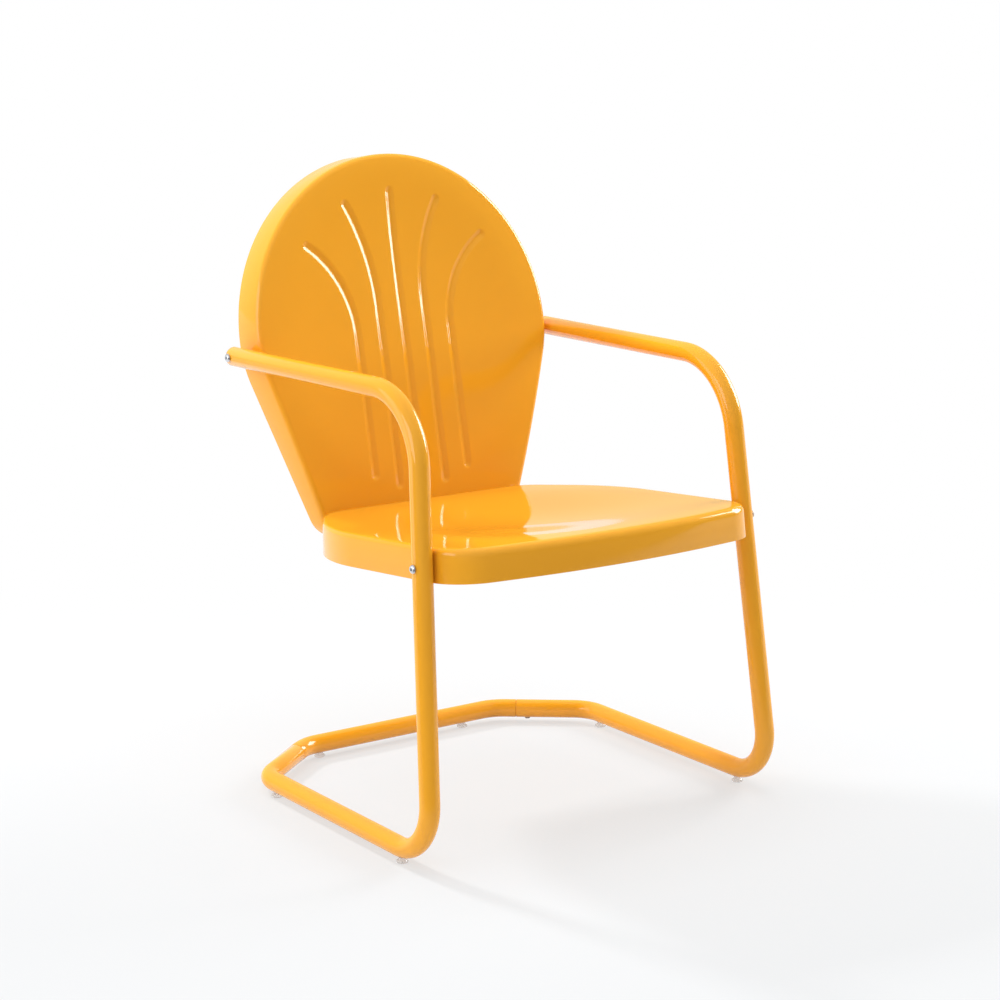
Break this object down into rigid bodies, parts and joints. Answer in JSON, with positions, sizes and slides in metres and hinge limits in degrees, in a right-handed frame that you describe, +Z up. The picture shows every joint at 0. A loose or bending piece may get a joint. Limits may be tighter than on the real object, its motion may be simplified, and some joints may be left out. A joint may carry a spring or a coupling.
{
  "type": "lawn chair",
  "caption": "Outdoor lawn chair: a springy bent tube frame with arms, a pressed steel seat pan and a round pressed back with a fan of stamped grooves.",
  "frame": {"origin": "on the floor, under the middle of the overall width and depth", "axes": "+Z up; the chair faces -Y; +X to the right as seen from the front"},
  "size_m": [0.593, 0.6162, 0.8662],
  "materials": {
    "frame_paint": "glossy orange yellow powder coat on steel tube",
    "shell_paint": "glossy orange yellow powder coat on pressed steel sheet",
    "zinc": "bright zinc plated steel",
    "clear_plastic": "clear, slightly pink plastic"
  },
  "bodies": {
    "base_frame": {"left_floor_runner": "frame_paint", "right_floor_runner": "frame_paint", "rear_cross_tube": "frame_paint", "left_joint_screw": "zinc", "right_joint_screw": "zinc", "front_left_foot_glide": "clear_plastic", "front_right_foot_glide": "clear_plastic", "side_left_foot_glide": "clear_plastic", "side_right_foot_glide": "clear_plastic", "rear_left_foot_glide": "clear_plastic", "rear_right_foot_glide": "clear_plastic"},
    "seat_frame": {"left_arm_leg_tube": "frame_paint", "right_arm_leg_tube": "frame_paint", "left_arm_cap": "frame_paint", "right_arm_cap": "frame_paint", "left_arm_spacer": "frame_paint", "right_arm_spacer": "frame_paint", "seat_shell": "shell_paint", "back_shell": "shell_paint", "left_leg_bolt": "zinc", "left_leg_washer": "zinc", "left_leg_nut": "zinc", "right_leg_bolt": "zinc", "right_leg_washer": "zinc", "right_leg_nut": "zinc", "left_arm_bolt": "zinc", "left_arm_washer": "zinc", "left_arm_nut": "zinc", "right_arm_bolt": "zinc", "right_arm_washer": "zinc", "right_arm_nut": "zinc", "seat_back_left_bolt": "zinc", "seat_back_left_washer": "zinc", "seat_back_left_nut": "zinc", "seat_back_middle_bolt": "zinc", "seat_back_middle_washer": "zinc", "seat_back_middle_nut": "zinc", "seat_back_right_bolt": "zinc", "seat_back_right_washer": "zinc", "seat_back_right_nut": "zinc"}
  },
  "joints": [
    {"name": "frame_spring", "type": "hinge", "parent": "base_frame", "child": "seat_frame", "pos_m": [0, -0.24868, 0.04224], "axis": [-1, 0, 0], "range_deg": [-1, 3.5], "stiffness_Nm_per_rad": 4000, "springref_deg": -0.33}
  ]
}
